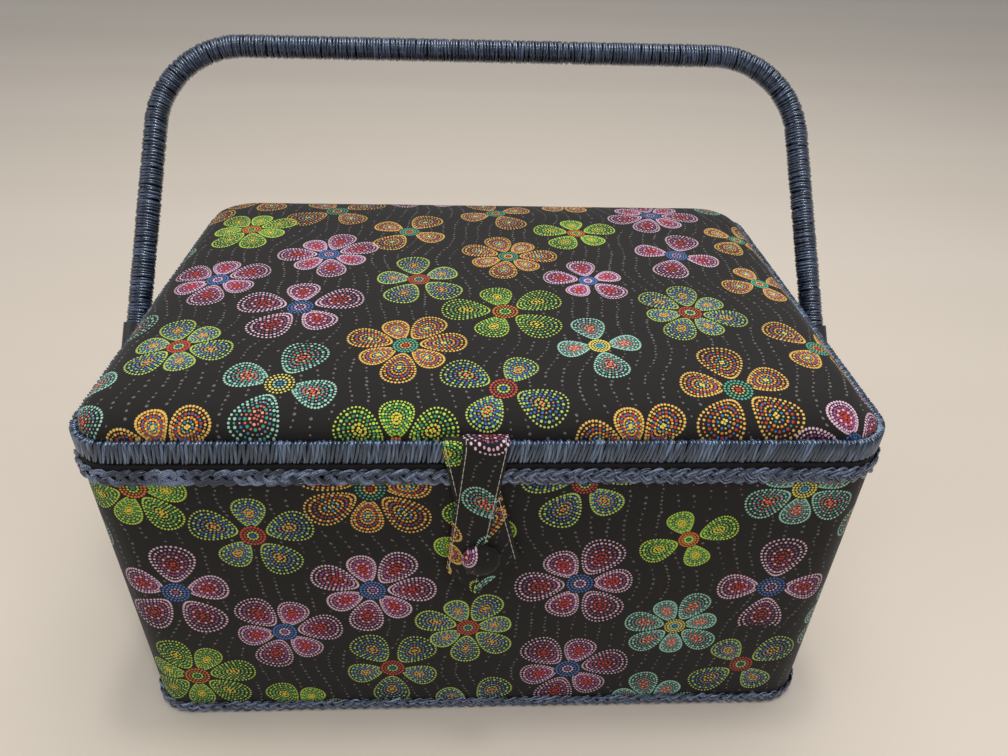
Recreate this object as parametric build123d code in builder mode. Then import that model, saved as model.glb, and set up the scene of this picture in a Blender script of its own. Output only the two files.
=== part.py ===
from build123d import *
import os
from math import cos, radians, sin

# Sewing box, in millimetres. X is the width, +Y the back, +Z up.
# The origin is the middle of the base, on the surface that the box stands on.
# Insets are measured inwards from the outer face of the lid rim.

# Box outline and heights
lid_width = 320.0
lid_depth = 228.0
corner_radius = 19.0
body_inset = 0.3
body_height = 156.4
lid_gap = 0.4
seat_clearance = 0.3
bond_clearance = 0.1

# Walls, base and their covers
wall_thickness = 4.0
fabric_thickness = 0.8
base_thickness = 5.0
turn_in_depth = 12.0
floor_pad_thickness = 5.0
floor_pad_bevel = 2.0

# Braids sewn round the body
braid_thickness = 1.4
top_braid_height = 7.0
top_braid_drop = 1.4
base_braid_height = 6.5
base_braid_lift = 0.3
strand_lap = 0.3
strand_bevel = 0.9

# Lid
rim_height = 10.0
rim_thickness = 3.2
wrap_thickness = 0.7
lid_board_thickness = 3.0
crown_edge_rise = 10.4
crown_edge_run = 19.0
crown_middle_rise = 2.6
crown_middle_run = 70.0
crown_roundness = 0.25
lid_lining_thickness = 2.2

# Pincushion and pocket under the lid
pincushion_width = 104.0
pincushion_depth = 74.0
pincushion_height = 10.0
pincushion_radius = 14.0
pincushion_x = 88.0
pocket_width = 156.0
pocket_depth = 104.0
pocket_thickness = 1.6
pocket_radius = 10.0
pocket_x = -62.0
elastic_width = 9.0
elastic_thickness = 2.6

# Tray and the ledges it rests on
tray_height = 32.0
tray_drop = 16.4
tray_wall = 1.8
tray_floor = 1.8
tray_divider = 1.6
tray_draft = 1.5
tray_gap = 2.0
tray_lip = 1.2
tray_lip_height = 2.0
tray_radius = 11.0
cell_radius = 6.0
tray_rows = (2, 4)
notch_radius = 13.0
notch_depth = 9.0
ledge_width = 8.0
ledge_height = 10.0
ledge_length = 150.0

# Hinges
hinge_width = 27.0
hinge_spacing = 190.0
knuckles = 3
knuckle_radius = 2.2
knuckle_play = 0.4
leaf_thickness = 1.0
lid_leaf_height = 9.4
body_leaf_height = 14.0
pin_radius = 1.0
pin_clearance = 0.05
pin_head_radius = 1.7
pin_head_thickness = 0.6
braid_cut_clearance = 0.6

# Countersunk screws
screw_radius = 0.9
screw_head_radius = 1.7
screw_head_height = 0.8
screw_clearance = 0.05
lid_screw_length = 3.4
body_screw_length = 5.0
leaf_screw_spread = 17.0
bracket_screw_spread = 25.0

# Handle, its sockets, brackets and pivots
bracket_drop = 5.0
handle_lean = 36.15
arm_offset = 20.3
arm_convergence = 0.069
handle_reach = 171.0
handle_bend_radius = 45.0
core_radius = 4.0
handle_wrap_thickness = 2.0
core_clearance = 0.05
core_start = 10.5
socket_reach = 23.4
socket_radius = 7.0
eye_radius = 8.5
eye_thickness = 10.0
sleeve_start = 8.6
pivot_radius = 3.0
pivot_clearance = 0.05
pivot_head_radius = 6.0
pivot_head_height = 3.0
pivot_head_bevel = 1.6
bracket_width = 22.0
bracket_height = 36.0
bracket_thickness = 2.5
bracket_radius = 9.0
boss_base_radius = 8.5
boss_draft = 10.0

# Button and strap, as seen from the front
button_x = -2.0
button_drop = 47.3
button_radius = 8.0
button_depth = 5.4
button_edge = 1.8
shank_radius = 1.6
shank_clearance = 0.1
strap_width = 17.5
strap_thickness = 1.1
front_leg_x = -0.6
rear_leg_x = -8.2
strap_tip_x = -4.0
strap_tip_drop = 70.3
front_corner_x = -16.5
front_corner_drop = 55.3
rear_corner_x = 14.0
rear_corner_drop = 49.8
slot_width = 5.0
slot_length = 24.0
slot_lean = 7.0

# Heights and faces that follow from the sizes above
body_side = lid_width / 2 - body_inset
body_face = lid_depth / 2 - body_inset
wall_inset = body_inset + fabric_thickness
lining_inset = wall_inset + wall_thickness
room_inset = lining_inset + fabric_thickness
wall_top = body_height - fabric_thickness
base_top = fabric_thickness + base_thickness
rim_bottom = body_height + lid_gap
rim_top = rim_bottom + rim_height
board_inset = rim_thickness + bond_clearance
board_bottom = rim_top - lid_board_thickness
lid_lining_bottom = board_bottom - bond_clearance - lid_lining_thickness
top_braid_top = body_height - top_braid_drop
tray_top = body_height - tray_drop
tray_bottom = tray_top - tray_height

hinge_y = lid_depth / 2 + seat_clearance + knuckle_radius
hinge_z = body_height + lid_gap / 2
leaf_back = hinge_y - knuckle_radius
leaf_face = leaf_back + leaf_thickness
leaf_edge = knuckle_radius + knuckle_play
hinge_centres = (-hinge_spacing / 2, hinge_spacing / 2)

strap_back = body_face + braid_thickness + seat_clearance
strap_front = strap_back + 2 * strap_thickness
button_z = rim_bottom - button_drop
strap_tip = (strap_tip_x, rim_bottom - strap_tip_drop)
front_corner = (front_corner_x, rim_bottom - front_corner_drop)
rear_corner = (rear_corner_x, rim_bottom - rear_corner_drop)
hoop_face = lid_depth / 2 - wrap_thickness
wall_face = lid_depth / 2 - wall_inset

pivot_height = top_braid_top - top_braid_height - bracket_drop - bracket_height / 2
arm_spread = body_side + arm_offset
wrap_radius = core_radius + handle_wrap_thickness
eye_inner = arm_spread - eye_thickness / 2
eye_outer = arm_spread + eye_thickness / 2
handle_plane = Plane(
    origin=(0, 0, pivot_height),
    x_dir=(1, 0, 0),
    z_dir=(0, -cos(radians(handle_lean)), sin(radians(handle_lean))),
)


def outline(inset, mode=Mode.ADD):
    """Sketch the rounded outline of the box at an inset from the lid rim's face."""
    RectangleRounded(lid_width - 2 * inset, lid_depth - 2 * inset, corner_radius - inset, mode=mode)


def plate(bottom, top, inset):
    """Add a flat panel that follows the outline."""
    with BuildSketch(Plane.XY.offset(bottom)) as face:
        outline(inset)
    extrude(face.sketch, amount=top - bottom)


def band(bottom, top, outer_inset, inner_inset, mode=Mode.ADD):
    """Add a closed band that follows the outline."""
    with BuildSketch(Plane.XY.offset(bottom)) as face:
        outline(outer_inset)
        outline(inner_inset, mode=Mode.SUBTRACT)
    extrude(face.sketch, amount=top - bottom, mode=mode)


def braid(bottom, height):
    """Add a two-strand plait laid against the body fabric, all the way round."""
    middle = bottom + height / 2
    half = height / 4 + strand_lap
    with BuildLine(Plane.XY.offset(middle)) as route:
        FilletPolyline(
            (0, -body_face),
            (body_side, -body_face),
            (body_side, body_face),
            (0, body_face),
            radius=corner_radius - body_inset,
        )
    with BuildSketch(Plane.YZ) as strands:
        for side in (-1, 1):
            centre = middle + side * (height / 4 - strand_lap)
            with BuildLine():
                Polyline(
                    (-body_face, centre - half),
                    (-body_face - braid_thickness, centre - half + strand_bevel),
                    (-body_face - braid_thickness, centre + half - strand_bevel),
                    (-body_face, centre + half),
                    close=True,
                )
            make_face()
    sweep(strands.sketch, path=route.wire())
    mirror(about=Plane.YZ)


def crown(grow):
    """Loft the padded top: steep at the rim, then a slow rise to the middle."""
    turns = [radians(angle) for angle in (0, 30, 60)]
    curve = [(crown_edge_rise * sin(turn), crown_edge_run * (1 - cos(turn))) for turn in turns]
    for turn in turns:
        rise = crown_edge_rise + crown_middle_rise * sin(turn)
        curve.append((rise, crown_edge_run + crown_middle_run * (1 - cos(turn))))
    sections = []
    for number, (rise, run) in enumerate(curve):
        height = rise + grow if number else 0
        inset = rim_thickness + bond_clearance + run - grow
        with BuildSketch(Plane.XY.offset(rim_top + height)) as section:
            RectangleRounded(
                lid_width - 2 * inset,
                lid_depth - 2 * inset,
                corner_radius - rim_thickness + crown_roundness * run,
            )
        sections.append(section.sketch)
    loft(sections, ruled=True)


def make_screw(length, grow):
    """Revolve a countersunk screw, head up with its top at the origin."""
    radius = screw_radius + grow
    with BuildPart() as screw:
        with BuildSketch(Plane.XZ):
            with BuildLine():
                Polyline(
                    (0, 0),
                    (screw_head_radius + grow, 0),
                    (radius, -screw_head_height),
                    (radius, -length - grow),
                    (0, -length - grow),
                    close=True,
                )
            make_face()
        revolve(axis=Axis.Z)
    return screw.part


def leaf_places(direction, height):
    """Give the screws of both hinges' leaves on one side of the hinge line."""
    middle = hinge_z + direction * (leaf_edge + height) / 2
    return [
        Location((centre + side * leaf_screw_spread / 2, leaf_face, middle), (-90, 0, 0))
        for centre in hinge_centres
        for side in (-1, 1)
    ]


def hinge_leaf(centre, direction, height, numbers):
    """Add a rolled leaf: a plate and the knuckles with these numbers."""
    middle = leaf_back + leaf_thickness / 2
    pitch = hinge_width / knuckles
    with Locations((centre, middle, hinge_z + direction * (leaf_edge + height) / 2)):
        Box(hinge_width, leaf_thickness, height - leaf_edge)
    for number in numbers:
        x = centre + (number - (knuckles - 1) / 2) * pitch
        with Locations((x, hinge_y, hinge_z)):
            Cylinder(knuckle_radius, pitch - knuckle_play, rotation=(0, 90, 0))
        with Locations((x, middle, hinge_z + direction * leaf_edge / 2)):
            Box(pitch - knuckle_play, leaf_thickness, leaf_edge)
    with Locations((centre, hinge_y, hinge_z)):
        Cylinder(pin_radius + pin_clearance, hinge_width, rotation=(0, 90, 0), mode=Mode.SUBTRACT)


def arm_place(distance):
    """Give how far an arm stands from the middle, at a distance up from the pivot."""
    return arm_spread - arm_convergence * distance


def arch(start):
    """Draw the handle's centre line, from a distance above one pivot to the other."""
    with BuildLine(handle_plane) as line:
        FilletPolyline(
            (-arm_place(start), start),
            (-arm_place(handle_reach), handle_reach),
            (arm_place(handle_reach), handle_reach),
            (arm_place(start), start),
            radius=handle_bend_radius,
        )
    return line.wire()


def strap_legs(depth):
    """Add the two crossing legs of the folded fabric strip, each one deeper than the other."""
    half = strap_width / 2
    rear = [(rear_leg_x - half, rim_top), (rear_leg_x + half, rim_top), rear_corner, strap_tip]
    front = [(front_leg_x - half, rim_top), (front_leg_x + half, rim_top), strap_tip, front_corner]
    for number, corners in enumerate((rear, front), start=1):
        with BuildSketch(Plane.XZ.offset(strap_back + number * strap_thickness)) as leg:
            with BuildLine():
                Polyline(*corners, close=True)
            make_face()
        extrude(leg.sketch, amount=-(depth + number * strap_thickness))


def save(piece, name):
    """Label a finished piece and write it."""
    piece.part.label = name
    export_step(piece.part, f"parts/{name}.step")


os.makedirs("parts", exist_ok=True)

body_screw = make_screw(body_screw_length, 0)
body_screw_hole = make_screw(body_screw_length, screw_clearance)
lid_screw = make_screw(lid_screw_length, 0)
lid_screw_hole = make_screw(lid_screw_length, screw_clearance)
body_leaf_screws = leaf_places(-1, body_leaf_height)
lid_leaf_screws = leaf_places(1, lid_leaf_height)
bracket_screws = {
    side: [
        Location(
            (side * (body_side + bracket_thickness), 0, pivot_height + end * bracket_screw_spread / 2),
            (0, side * 90, 0),
        )
        for end in (-1, 1)
    ]
    for side in (-1, 1)
}
body_screws = body_leaf_screws + bracket_screws[-1] + bracket_screws[1]

# Box walls: one fibreboard band, with the base board let in between them.
with BuildPart() as body_walls:
    band(fabric_thickness, wall_top, wall_inset, lining_inset)
    with Locations(*body_screws):
        add(body_screw_hole, mode=Mode.SUBTRACT)
save(body_walls, "body_walls")

with BuildPart() as base_board:
    plate(fabric_thickness, base_top, lining_inset + bond_clearance)
save(base_board, "base_board")

# Printed fabric over the walls, turned over the top edge and down inside.
with BuildPart() as body_cover:
    band(base_braid_lift, body_height, body_inset, wall_inset)
    band(wall_top, body_height, wall_inset, lining_inset)
    band(body_height - turn_in_depth, body_height, lining_inset, room_inset)
    with Locations(*body_screws):
        add(body_screw_hole, mode=Mode.SUBTRACT)
    with Locations((button_x, -body_face, button_z)):
        Cylinder(
            shank_radius + shank_clearance,
            2 * fabric_thickness,
            rotation=(90, 0, 0),
            mode=Mode.SUBTRACT,
        )
save(body_cover, "body_cover")

with BuildPart() as base_cover:
    plate(0, fabric_thickness, wall_inset + bond_clearance)
save(base_cover, "base_cover")

# Lining of the walls and a thin pad on the floor.
with BuildPart() as wall_lining:
    band(base_top, body_height - turn_in_depth - bond_clearance, lining_inset, room_inset)
save(wall_lining, "wall_lining")

with BuildPart() as floor_pad:
    plate(base_top, base_top + floor_pad_thickness, room_inset + bond_clearance)
    chamfer(floor_pad.faces().sort_by(Axis.Z)[-1].edges(), length=floor_pad_bevel)
save(floor_pad, "floor_pad")

# Braids: the upper one is cut at the hinges, the lower one goes right round.
with BuildPart() as top_braid:
    braid(top_braid_top - top_braid_height, top_braid_height)
    with Locations(*[(centre, body_face, top_braid_top) for centre in hinge_centres]):
        Box(
            hinge_width + 2 * braid_cut_clearance,
            4 * braid_thickness,
            4 * top_braid_height,
            mode=Mode.SUBTRACT,
        )
save(top_braid, "top_braid")

with BuildPart() as base_braid:
    braid(base_braid_lift, base_braid_height)
save(base_braid, "base_braid")

# Ledges glued to the side walls, and the moulded tray that rests on them.
for side, name in ((-1, "tray_ledge_left"), (1, "tray_ledge_right")):
    with BuildPart() as tray_ledge:
        ledge_x = lid_width / 2 - room_inset - ledge_width / 2
        ledge_z = tray_bottom - seat_clearance - ledge_height / 2
        with Locations((side * ledge_x, 0, ledge_z)):
            Box(ledge_width, ledge_length, ledge_height)
    save(tray_ledge, name)

with BuildPart() as compartment_tray:
    tray_width = lid_width - 2 * (room_inset + tray_gap)
    tray_depth = lid_depth - 2 * (room_inset + tray_gap)
    with BuildSketch(Plane.XY.offset(tray_top)):
        RectangleRounded(tray_width, tray_depth, tray_radius)
    extrude(amount=-tray_height, taper=tray_draft)
    with BuildSketch(Plane.XY.offset(tray_top)):
        RectangleRounded(tray_width + 2 * tray_lip, tray_depth + 2 * tray_lip, tray_radius + tray_lip)
    extrude(amount=-tray_lip_height)
    inner_width = tray_width - 2 * tray_wall
    inner_depth = tray_depth - 2 * tray_wall
    cell_depth = (inner_depth - tray_divider * (len(tray_rows) - 1)) / len(tray_rows)
    with BuildSketch(Plane.XY.offset(tray_top)):
        for row, count in enumerate(tray_rows):
            cell_width = (inner_width - tray_divider * (count - 1)) / count
            cell_y = (row - (len(tray_rows) - 1) / 2) * (cell_depth + tray_divider)
            for column in range(count):
                cell_x = (column - (count - 1) / 2) * (cell_width + tray_divider)
                with Locations((cell_x, cell_y)):
                    RectangleRounded(cell_width, cell_depth, cell_radius)
    extrude(amount=-(tray_height - tray_floor), taper=tray_draft, mode=Mode.SUBTRACT)
    for side in (-1, 1):
        with Locations((side * tray_width / 2, 0, tray_top + notch_radius - notch_depth)):
            Cylinder(notch_radius, 4 * tray_wall, rotation=(0, 90, 0), mode=Mode.SUBTRACT)
save(compartment_tray, "compartment_tray")

# Lid: a board in a wrapped hoop, the wrapping left off where the strap crosses the front.
with BuildPart() as lid_board:
    plate(board_bottom, rim_top, board_inset)
save(lid_board, "lid_board")

with BuildPart() as lid_hoop:
    band(
        rim_bottom + wrap_thickness,
        rim_top - wrap_thickness,
        wrap_thickness,
        rim_thickness - wrap_thickness,
    )
    with Locations(*lid_leaf_screws):
        add(lid_screw_hole, mode=Mode.SUBTRACT)
save(lid_hoop, "lid_hoop")

with BuildPart() as lid_rim_wrap:
    band(rim_bottom, rim_top, 0, rim_thickness)
    band(
        rim_bottom + wrap_thickness,
        rim_top - wrap_thickness,
        wrap_thickness,
        rim_thickness - wrap_thickness,
        mode=Mode.SUBTRACT,
    )
    with Locations(*lid_leaf_screws):
        add(lid_screw_hole, mode=Mode.SUBTRACT)
    tails_left = rear_leg_x - strap_width / 2 - seat_clearance
    tails_right = front_leg_x + strap_width / 2 + seat_clearance
    with Locations(((tails_left + tails_right) / 2, -lid_depth / 2, (rim_bottom + rim_top) / 2)):
        Box(tails_right - tails_left, 4 * rim_thickness, 2 * rim_height, mode=Mode.SUBTRACT)
save(lid_rim_wrap, "lid_rim_wrap")

# Foam pad with its crown, and the printed fabric drawn over it.
with BuildPart() as lid_pad:
    crown(-fabric_thickness)
save(lid_pad, "lid_pad")

with BuildPart() as lid_cover:
    crown(0)
    add(lid_pad.part, mode=Mode.SUBTRACT)
save(lid_cover, "lid_cover")

# Inside of the lid: lining panel, pincushion, flat pocket and its elastic mouth.
with BuildPart() as lid_lining:
    plate(lid_lining_bottom, board_bottom - bond_clearance, board_inset + bond_clearance)
save(lid_lining, "lid_lining")

with BuildPart() as pincushion:
    for share, inset in ((0, 3.0), (0.3, 0), (0.7, 3.0), (0.93, 11.0), (1, 20.0)):
        with BuildSketch(Plane.XY.offset(lid_lining_bottom - share * pincushion_height)):
            with Locations((pincushion_x, 0)):
                RectangleRounded(
                    pincushion_width - 2 * inset,
                    pincushion_depth - 2 * inset,
                    pincushion_radius,
                )
    loft(ruled=True)
save(pincushion, "pincushion")

with BuildPart() as lid_pocket:
    with BuildSketch(Plane.XY.offset(lid_lining_bottom)):
        with Locations((pocket_x, 0)):
            RectangleRounded(pocket_width, pocket_depth, pocket_radius)
    extrude(amount=-pocket_thickness)
save(lid_pocket, "lid_pocket")

with BuildPart() as pocket_elastic:
    elastic_y = -pocket_depth / 2 - bond_clearance - elastic_width / 2
    with Locations((pocket_x, elastic_y, lid_lining_bottom - elastic_thickness / 2)):
        Box(pocket_width, elastic_width, elastic_thickness)
    fillet(pocket_elastic.edges().filter_by(Axis.X), radius=elastic_thickness / 3)
save(pocket_elastic, "pocket_elastic")

# Two rolled butt hinges on the back, with their pins and screws.
for centre, name in zip(hinge_centres, ("left", "right")):
    with BuildPart() as body_leaf:
        hinge_leaf(centre, -1, body_leaf_height, (0, 2))
        with Locations(*body_leaf_screws):
            add(body_screw_hole, mode=Mode.SUBTRACT)
    save(body_leaf, f"hinge_body_leaf_{name}")
    with BuildPart() as lid_leaf:
        hinge_leaf(centre, 1, lid_leaf_height, (1,))
        with Locations(*lid_leaf_screws):
            add(lid_screw_hole, mode=Mode.SUBTRACT)
    save(lid_leaf, f"hinge_lid_leaf_{name}")

with BuildPart() as hinge_pins:
    with Locations(*[(centre, hinge_y, hinge_z) for centre in hinge_centres]):
        Cylinder(pin_radius, hinge_width + 2 * pin_head_thickness, rotation=(0, 90, 0))
        for side in (-1, 1):
            with Locations((side * (hinge_width + pin_head_thickness) / 2, 0, 0)):
                Cylinder(pin_head_radius, pin_head_thickness, rotation=(0, 90, 0))
save(hinge_pins, "hinge_pins")

with BuildPart() as hinge_screws_body:
    with Locations(*body_leaf_screws):
        add(body_screw)
save(hinge_screws_body, "hinge_screws_body")

with BuildPart() as hinge_screws_lid:
    with Locations(*lid_leaf_screws):
        add(lid_screw)
save(hinge_screws_lid, "hinge_screws_lid")

# Handle brackets on the side walls, each with a boss that carries the pivot.
for side, name in ((-1, "left"), (1, "right")):
    side_plane = Plane(origin=(side * body_side, 0, pivot_height), x_dir=(0, side, 0), z_dir=(side, 0, 0))
    with BuildPart() as handle_bracket:
        with BuildSketch(side_plane):
            RectangleRounded(bracket_width, bracket_height, bracket_radius)
        extrude(amount=bracket_thickness)
        with BuildSketch(side_plane.offset(bracket_thickness)):
            Circle(boss_base_radius)
        extrude(amount=eye_inner - seat_clearance - body_side - bracket_thickness, taper=boss_draft)
        with BuildSketch(side_plane):
            Circle(pivot_radius)
        extrude(amount=eye_inner - body_side, mode=Mode.SUBTRACT)
        with Locations(*bracket_screws[side]):
            add(body_screw_hole, mode=Mode.SUBTRACT)
    save(handle_bracket, f"handle_bracket_{name}")

    with BuildPart() as handle_pivot:
        with BuildSketch(side_plane):
            Circle(pivot_radius)
        extrude(amount=eye_outer + seat_clearance - body_side)
        with BuildSketch(side_plane.offset(eye_outer + seat_clearance - body_side)):
            Circle(pivot_head_radius)
        extrude(amount=pivot_head_height)
        chamfer(handle_pivot.edges().sort_by(Axis.X)[-1 if side > 0 else 0], length=pivot_head_bevel)
    save(handle_pivot, f"handle_pivot_{name}")

    # Socket: an eye on the pivot and a sleeve that takes the end of the core.
    arm_plane = Plane(
        origin=(side * arm_spread, 0, pivot_height),
        x_dir=handle_plane.z_dir,
        z_dir=handle_plane.y_dir - handle_plane.x_dir * side * arm_convergence,
    )
    eye_plane = Plane(
        origin=(arm_spread * side - eye_thickness / 2, 0, pivot_height),
        x_dir=-handle_plane.z_dir,
        z_dir=(1, 0, 0),
    )
    with BuildPart() as handle_socket:
        with BuildSketch(eye_plane):
            Circle(eye_radius)
            with Locations((0, sleeve_start / 2)):
                Rectangle(2 * socket_radius, sleeve_start)
        extrude(amount=eye_thickness)
        with BuildSketch(arm_plane.offset(sleeve_start)):
            Circle(socket_radius)
        extrude(amount=socket_reach - sleeve_start)
        with BuildSketch(arm_plane.offset(core_start)):
            Circle(core_radius + core_clearance)
        extrude(amount=socket_reach, mode=Mode.SUBTRACT)
        with Locations((side * arm_spread, 0, pivot_height)):
            Cylinder(
                pivot_radius + pivot_clearance,
                4 * eye_thickness,
                rotation=(0, 90, 0),
                mode=Mode.SUBTRACT,
            )
    save(handle_socket, f"handle_socket_{name}")

with BuildPart() as bracket_screw_set:
    with Locations(*bracket_screws[-1], *bracket_screws[1]):
        add(body_screw)
save(bracket_screw_set, "bracket_screws")

# Handle: a core bent to an arch, and the wrapping over it between the sockets.
with BuildPart() as handle_core:
    core_line = arch(core_start + seat_clearance)
    with BuildSketch(Plane(origin=core_line @ 0, z_dir=core_line % 0)):
        Circle(core_radius)
    sweep(path=core_line)
save(handle_core, "handle_core")

with BuildPart() as handle_wrap:
    wrap_line = arch(socket_reach + seat_clearance)
    with BuildSketch(Plane(origin=wrap_line @ 0, z_dir=wrap_line % 0)):
        Circle(wrap_radius)
        Circle(core_radius + core_clearance, mode=Mode.SUBTRACT)
    sweep(path=wrap_line)
save(handle_wrap, "handle_wrap")

# Closure: a fabric-covered button on a shank, and the folded strap that loops over it.
button_plane = Plane(origin=(button_x, -strap_front - seat_clearance, button_z), z_dir=(0, -1, 0))
with BuildPart() as closure_button:
    with BuildSketch(Plane(origin=button_plane.origin, z_dir=(0, 0, 1))):
        with BuildLine():
            TangentArc((0, -button_depth), (button_radius, -button_edge), tangent=(1, 0))
            Polyline((button_radius, -button_edge), (button_radius, 0), (0, 0), (0, -button_depth))
        make_face()
    revolve(axis=Axis(button_plane.origin, button_plane.z_dir))
save(closure_button, "closure_button")

with BuildPart() as button_shank:
    with BuildSketch(button_plane):
        Circle(shank_radius)
    extrude(amount=wall_face - strap_front - seat_clearance)
save(button_shank, "button_shank")

with BuildPart() as closure_strap:
    strap_legs(0)
    split(bisect_by=Plane.XY.offset(rim_bottom - seat_clearance), keep=Keep.BOTTOM)
    with BuildSketch(Plane.XZ.offset(strap_back - seat_clearance)):
        with Locations((button_x, button_z + slot_length / 2 - slot_width)):
            SlotOverall(slot_length, slot_width, rotation=90 + slot_lean)
    extrude(amount=strap_front, mode=Mode.SUBTRACT)
save(closure_strap, "closure_strap")

with BuildPart() as strap_tails:
    strap_legs(strap_back - hoop_face)
    split(bisect_by=Plane.XY.offset(rim_bottom), keep=Keep.TOP)
    fold_y = (strap_front + lid_depth / 2 - rim_thickness) / 2
    with Locations((front_leg_x / 2 + rear_leg_x / 2, -fold_y, rim_top - wrap_thickness / 2)):
        Box(
            front_leg_x - rear_leg_x + strap_width,
            strap_front - lid_depth / 2 + rim_thickness,
            wrap_thickness,
        )
save(strap_tails, "strap_tails")
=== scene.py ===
from math import copysign, cos, hypot, pi, radians, sin, tan

import bmesh
import bpy
import numpy as np
from mathutils import Matrix, Vector, noise


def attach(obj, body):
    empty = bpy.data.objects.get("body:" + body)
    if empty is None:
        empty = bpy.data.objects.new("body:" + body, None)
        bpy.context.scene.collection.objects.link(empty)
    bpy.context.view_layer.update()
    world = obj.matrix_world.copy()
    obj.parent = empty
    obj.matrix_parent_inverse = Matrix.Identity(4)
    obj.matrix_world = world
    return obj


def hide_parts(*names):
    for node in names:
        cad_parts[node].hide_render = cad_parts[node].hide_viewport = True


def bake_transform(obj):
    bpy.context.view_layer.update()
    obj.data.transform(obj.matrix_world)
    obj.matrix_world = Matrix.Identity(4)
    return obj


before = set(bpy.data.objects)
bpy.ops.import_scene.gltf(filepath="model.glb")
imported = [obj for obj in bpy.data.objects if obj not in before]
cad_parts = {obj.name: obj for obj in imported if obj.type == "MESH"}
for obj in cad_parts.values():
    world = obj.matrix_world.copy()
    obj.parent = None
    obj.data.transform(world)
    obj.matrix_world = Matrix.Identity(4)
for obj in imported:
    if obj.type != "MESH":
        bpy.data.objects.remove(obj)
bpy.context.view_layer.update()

mm = 0.001

# Viewpoint. The box is seen from the front and from above, a little from its left, with the picture
# tipped by about two degrees.
turn, dip, roll = 0.0566, 0.5945, -0.0334
ahead = Vector((sin(turn) * cos(dip), cos(turn) * cos(dip), -sin(dip)))
level = Vector((cos(turn), -sin(turn), 0))
fall = ahead.cross(level)
across = cos(roll) * level + sin(roll) * fall
down = cos(roll) * fall - sin(roll) * level


def add_object(name, data):
    """Put a new object with this data in the scene, at the origin."""
    made = bpy.data.objects.new(name, data)
    bpy.context.scene.collection.objects.link(made)
    return made


camera = add_object("viewpoint", bpy.data.cameras.new("viewpoint"))
camera.data.sensor_width = 36
camera.data.lens = 27.33
camera.data.clip_start = 0.01
camera.matrix_world = Matrix.Translation((-7.418 * mm, -337.943 * mm, 348.323 * mm)) @ Matrix(
    (across, -down, -ahead)
).transposed().to_4x4()
bpy.context.scene.camera = camera


# Floor and light. A pale warm floor, a broad lamp overhead, a weaker one from the left, two small
# ones for the glints on the glossy yarn, and an even pale surround.
def finish_of(name, **sockets):
    """Start a material: its node tree, its surface shader with these sockets set, and itself."""
    material = bpy.data.materials.new(name)
    material.use_nodes = True
    shader = material.node_tree.nodes["Principled BSDF"]
    for label, value in sockets.items():
        shader.inputs[label.replace("_", " ")].default_value = value
    return material.node_tree, shader, material


def add_node(tree, kind, inputs=None, **settings):
    """Add a node with these settings, and link or set its inputs by name or by number."""
    node = tree.nodes.new(kind)
    for label, value in settings.items():
        setattr(node, label, value)
    for label, value in (inputs or {}).items():
        if isinstance(value, Amount):
            value = value.socket
        if isinstance(value, bpy.types.NodeSocket):
            tree.links.new(value, node.inputs[label])
        else:
            node.inputs[label].default_value = value
    return node


class Amount:
    """A number in a node tree. Working with it as with any number adds the Math nodes for it."""

    def __init__(self, tree, socket):
        self.tree, self.socket = tree, socket

    def math(self, operation, *others):
        values = dict(enumerate((self, *others)))
        node = add_node(self.tree, "ShaderNodeMath", values, operation=operation)
        return Amount(self.tree, node.outputs[0])

    def __add__(self, other):
        return self.math("ADD", other)

    def __sub__(self, other):
        return self.math("SUBTRACT", other)

    def __rsub__(self, other):
        return self.math("MULTIPLY_ADD", -1.0, other)

    def __mul__(self, other):
        return self.math("MULTIPLY", other)

    def __truediv__(self, other):
        return self.math("DIVIDE", other)

    __radd__ = __add__
    __rmul__ = __mul__


def colours(tree, amount, stops, interpolation="LINEAR"):
    """Turn an amount from 0 to 1 into a colour that passes through these stops."""
    ramp = add_node(tree, "ShaderNodeValToRGB", {"Fac": amount})
    ramp.color_ramp.interpolation = interpolation
    while len(ramp.color_ramp.elements) < len(stops):
        ramp.color_ramp.elements.new(0.5)
    for element, (place, colour) in zip(ramp.color_ramp.elements, stops):
        element.position = place
        element.color = (*colour, 1)
    return ramp.outputs["Color"]


def tint(tree, shader, amount, stops):
    """Colour a shader's surface by an amount from 0 to 1, through these stops."""
    tree.links.new(colours(tree, amount, stops), shader.inputs["Base Color"])


def cloudy(tree, scale, detail=2.0, stretch=(1, 1, 1)):
    """A soft random amount over the object, with blotches of about 1/scale metres."""
    place = add_node(tree, "ShaderNodeTexCoord").outputs["Object"]
    place = add_node(tree, "ShaderNodeMapping", {"Vector": place, "Scale": stretch}).outputs["Vector"]
    clouds = add_node(tree, "ShaderNodeTexNoise", {"Vector": place, "Scale": scale, "Detail": detail})
    return Amount(tree, clouds.outputs[0])


def raise_surface(tree, shader, height, depth, strength=1.0):
    """Bump a shader's surface by an amount of this depth in metres."""
    bump = add_node(tree, "ShaderNodeBump", {"Height": height, "Distance": depth, "Strength": strength})
    tree.links.new(bump.outputs["Normal"], shader.inputs["Normal"])


tree, shader, pale_floor = finish_of("pale_floor", Roughness=0.6)
tone = cloudy(tree, 1.2, 3.0, (0.25, 3.0, 1.0))
tint(tree, shader, tone, [(0.3, (0.685, 0.615, 0.525)), (0.7, (0.73, 0.66, 0.575))])
floor_mesh = bpy.data.meshes.new("floor")
floor_mesh.from_pydata([(-20, -20, 0), (20, -20, 0), (20, 20, 0), (-20, 20, 0)], [], [(0, 1, 2, 3)])
floor_mesh.materials.append(pale_floor)
floor = add_object("floor", floor_mesh)

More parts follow.
